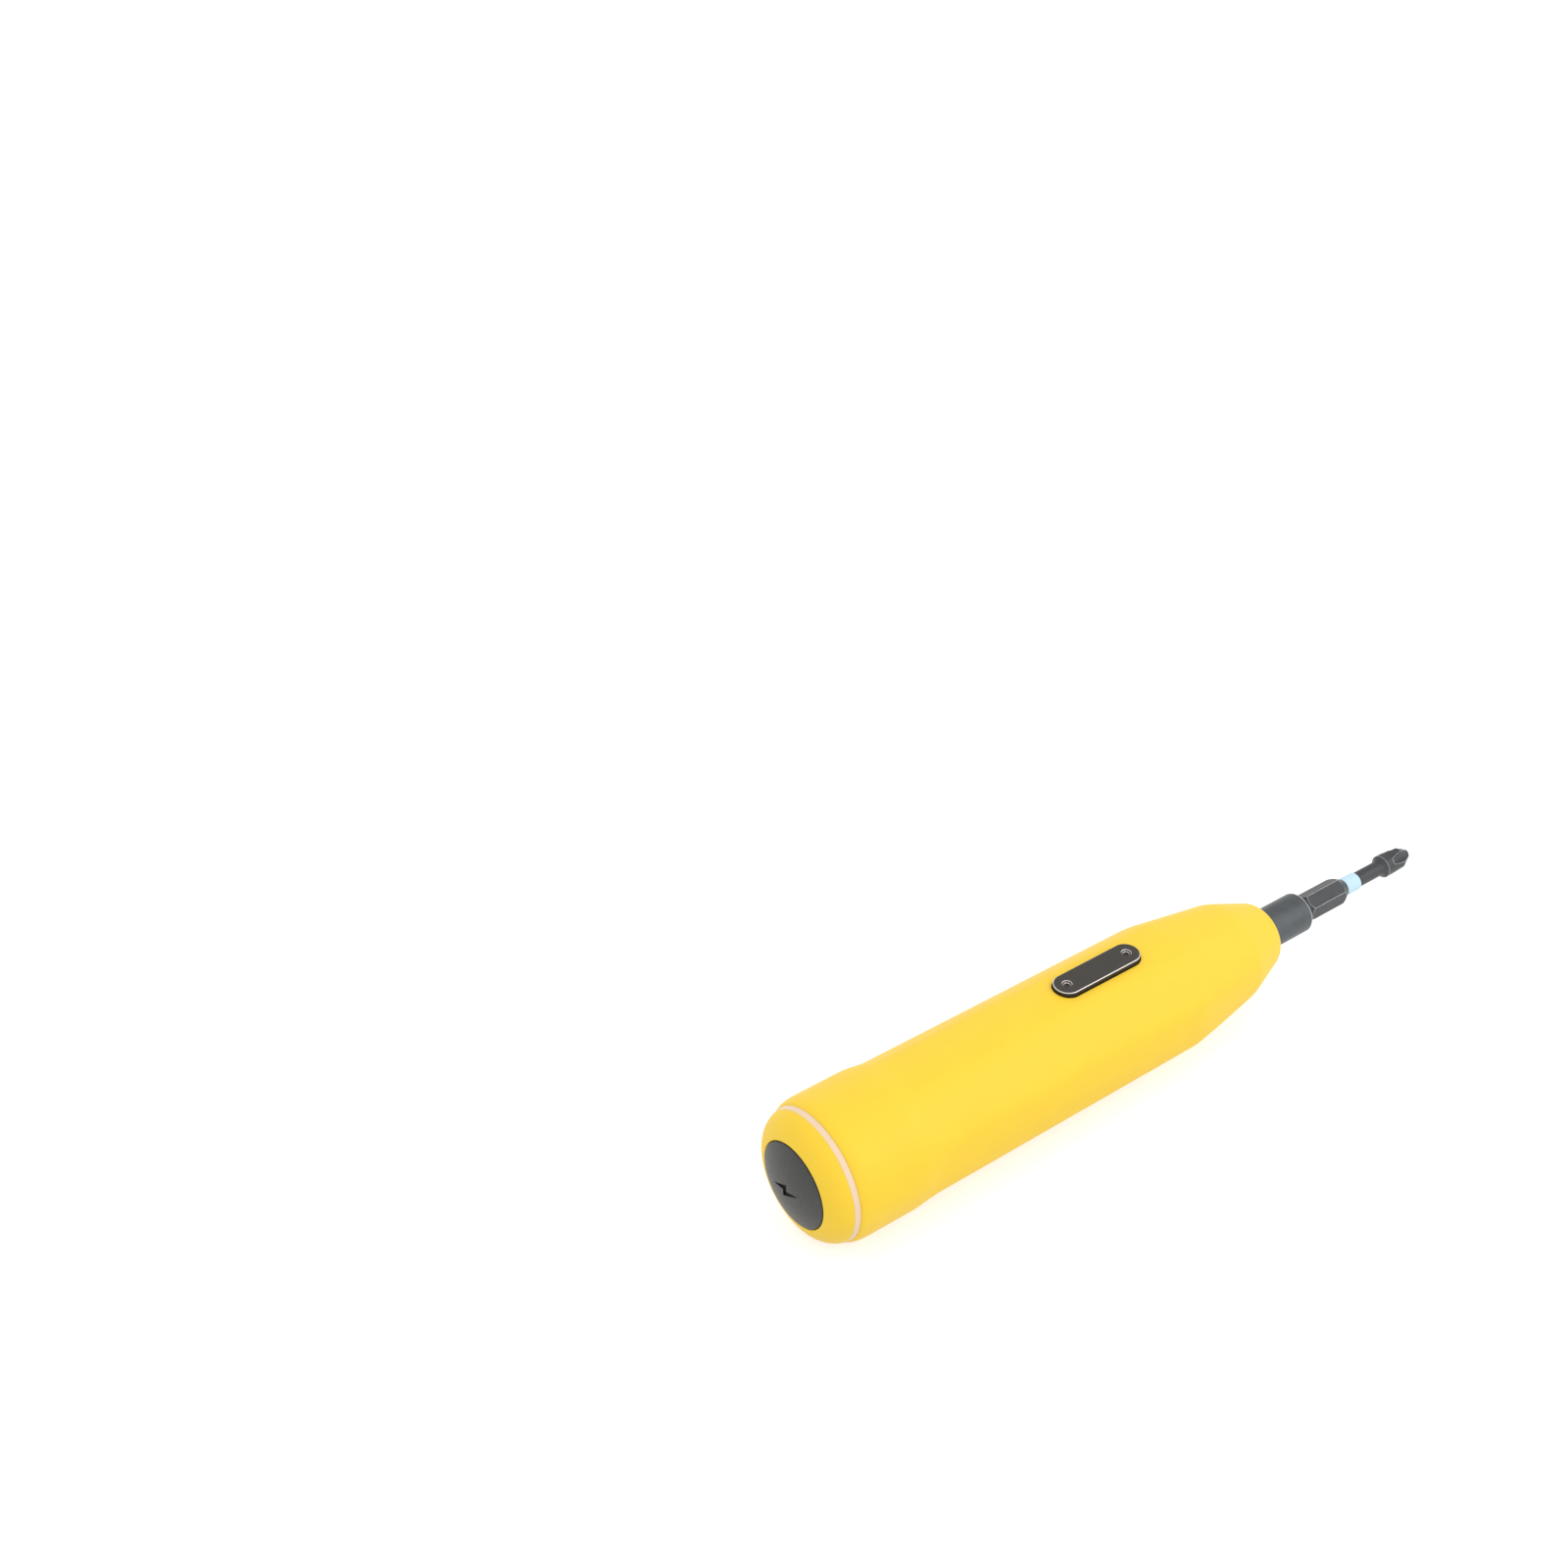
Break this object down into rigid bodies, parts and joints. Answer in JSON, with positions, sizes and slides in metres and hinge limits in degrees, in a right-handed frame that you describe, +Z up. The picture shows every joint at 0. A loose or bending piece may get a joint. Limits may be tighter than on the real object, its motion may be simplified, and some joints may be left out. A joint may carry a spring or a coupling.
{
  "type": "inline cordless screwdriver",
  "caption": "Straight hand-held cordless screwdriver with a faceted grip, a forward and reverse rocker, a plugged charging socket, a planetary gear train and a magnetic hex bit holder.",
  "frame": {"origin": "under the middle of the tool's length, on the level of the tail flare's lowest facet", "axes": "+X along the tool's axis from the charging plug to the bit's point, +Z up through the rocker"},
  "size_m": [0.2024, 0.0344, 0.0346],
  "materials": {
    "yellow_abs": "satin moulded",
    "pale_diffuser": "semi-gloss",
    "grey_rubber": "fine grain, matt",
    "black_plastic": "fine grain",
    "dark_steel": "dark satin",
    "bright_steel": "machined",
    "sintered_bronze": "oiled matt",
    "copper": "plain",
    "ferrite": "matt",
    "white_nylon": "plain",
    "board_green": "solder mask",
    "cell_wrap_blue": "shrink wrap",
    "light_blue": "plain",
    "red_lead": "insulation",
    "black_lead": "insulation"
  },
  "bodies": {
    "housing": {"battery_cell": "cell_wrap_blue", "battery_cradle": "black_plastic", "battery_lead_red": "red_lead", "battery_tab_front": "bright_steel", "battery_tab_rear": "bright_steel", "cap_screw_left": "bright_steel", "cap_screw_right": "bright_steel", "charge_board": "board_green", "charge_socket": "bright_steel", "charge_socket_tongue": "black_plastic", "front_bush": "sintered_bronze", "gearbox_cover": "black_plastic", "housing_shell": "yellow_abs", "motor_can": "bright_steel", "motor_end_cap": "white_nylon", "motor_lead_black": "black_lead", "motor_lead_red": "red_lead", "motor_magnet_lower": "ferrite", "motor_magnet_upper": "ferrite", "motor_plate": "bright_steel", "motor_screw_lower": "bright_steel", "motor_screw_upper": "bright_steel", "motor_terminal_left": "copper", "motor_terminal_right": "copper", "rear_bush": "sintered_bronze", "ring_gear": "bright_steel", "supply_lead_black": "black_lead", "supply_lead_red": "red_lead", "switch_board": "board_green", "switch_carrier": "black_plastic", "switch_pivot_pin": "bright_steel", "tact_switch_forward": "black_plastic", "tact_switch_reverse": "black_plastic", "tail_cap": "yellow_abs", "tail_ring": "pale_diffuser", "thrust_washer": "bright_steel"},
    "port_plug": {"port_plug": "grey_rubber"},
    "rocker": {"switch_button": "black_plastic"},
    "rotor": {"motor_shaft": "bright_steel", "motor_armature": "copper", "motor_commutator": "copper", "motor_pinion": "bright_steel"},
    "first_carrier": {"first_carrier": "bright_steel"},
    "first_planet_1": {"first_planet_1": "bright_steel"},
    "first_planet_2": {"first_planet_2": "bright_steel"},
    "first_planet_3": {"first_planet_3": "bright_steel"},
    "spindle": {"spindle": "dark_steel", "output_carrier": "bright_steel", "bit_magnet": "bright_steel"},
    "second_planet_1": {"second_planet_1": "bright_steel"},
    "second_planet_2": {"second_planet_2": "bright_steel"},
    "second_planet_3": {"second_planet_3": "bright_steel"},
    "bit": {"screw_bit": "dark_steel", "bit_ring": "light_blue"}
  },
  "joints": [
    {"name": "port_plug_pull", "type": "slide", "parent": "housing", "child": "port_plug", "axis": [-1, 0, 0], "range_m": [0, 0.008]},
    {"name": "switch_rock", "type": "hinge", "parent": "housing", "child": "rocker", "pos_m": [-0.0105, 0, 0.03181], "axis": [0, 1, 0], "range_deg": [-3.5, 3.5], "stiffness_Nm_per_rad": 0.2},
    {"name": "rotor_spin", "type": "hinge", "parent": "housing", "child": "rotor", "pos_m": [-0.0308, 0, 0.01721], "axis": [1, 0, 0], "continuous": true},
    {"name": "first_carrier_spin", "type": "hinge", "parent": "housing", "child": "first_carrier", "pos_m": [0.00875, 0, 0.01721], "axis": [1, 0, 0], "continuous": true},
    {"name": "spindle_spin", "type": "hinge", "parent": "housing", "child": "spindle", "pos_m": [0.0603, 0, 0.01721], "axis": [1, 0, 0], "continuous": true},
    {"name": "first_planet_1_spin", "type": "hinge", "parent": "first_carrier", "child": "first_planet_1", "pos_m": [0.00505, 0.00621, 0.01721], "axis": [1, 0, 0], "continuous": true},
    {"name": "first_planet_2_spin", "type": "hinge", "parent": "first_carrier", "child": "first_planet_2", "pos_m": [0.00505, -0.00311, 0.02259], "axis": [1, 0, 0], "continuous": true},
    {"name": "first_planet_3_spin", "type": "hinge", "parent": "first_carrier", "child": "first_planet_3", "pos_m": [0.00505, -0.00311, 0.01183], "axis": [1, 0, 0], "continuous": true},
    {"name": "second_planet_1_spin", "type": "hinge", "parent": "spindle", "child": "second_planet_1", "pos_m": [0.0127, 0.00621, 0.01721], "axis": [1, 0, 0], "continuous": true},
    {"name": "second_planet_2_spin", "type": "hinge", "parent": "spindle", "child": "second_planet_2", "pos_m": [0.0127, -0.00311, 0.02259], "axis": [1, 0, 0], "continuous": true},
    {"name": "second_planet_3_spin", "type": "hinge", "parent": "spindle", "child": "second_planet_3", "pos_m": [0.0127, -0.00311, 0.01183], "axis": [1, 0, 0], "continuous": true},
    {"name": "bit_pull", "type": "slide", "parent": "spindle", "child": "bit", "axis": [1, 0, 0], "range_m": [0, 0.0095]}
  ],
  "couplings": [
    {"joint": "first_carrier_spin", "follows": "rotor_spin", "ratio": 0.16667},
    {"joint": "spindle_spin", "follows": "rotor_spin", "ratio": 0.027778},
    {"joint": "first_planet_1_spin", "follows": "rotor_spin", "ratio": -0.41667},
    {"joint": "first_planet_2_spin", "follows": "rotor_spin", "ratio": -0.41667},
    {"joint": "first_planet_3_spin", "follows": "rotor_spin", "ratio": -0.41667},
    {"joint": "second_planet_1_spin", "follows": "rotor_spin", "ratio": -0.069444},
    {"joint": "second_planet_2_spin", "follows": "rotor_spin", "ratio": -0.069444},
    {"joint": "second_planet_3_spin", "follows": "rotor_spin", "ratio": -0.069444}
  ]
}
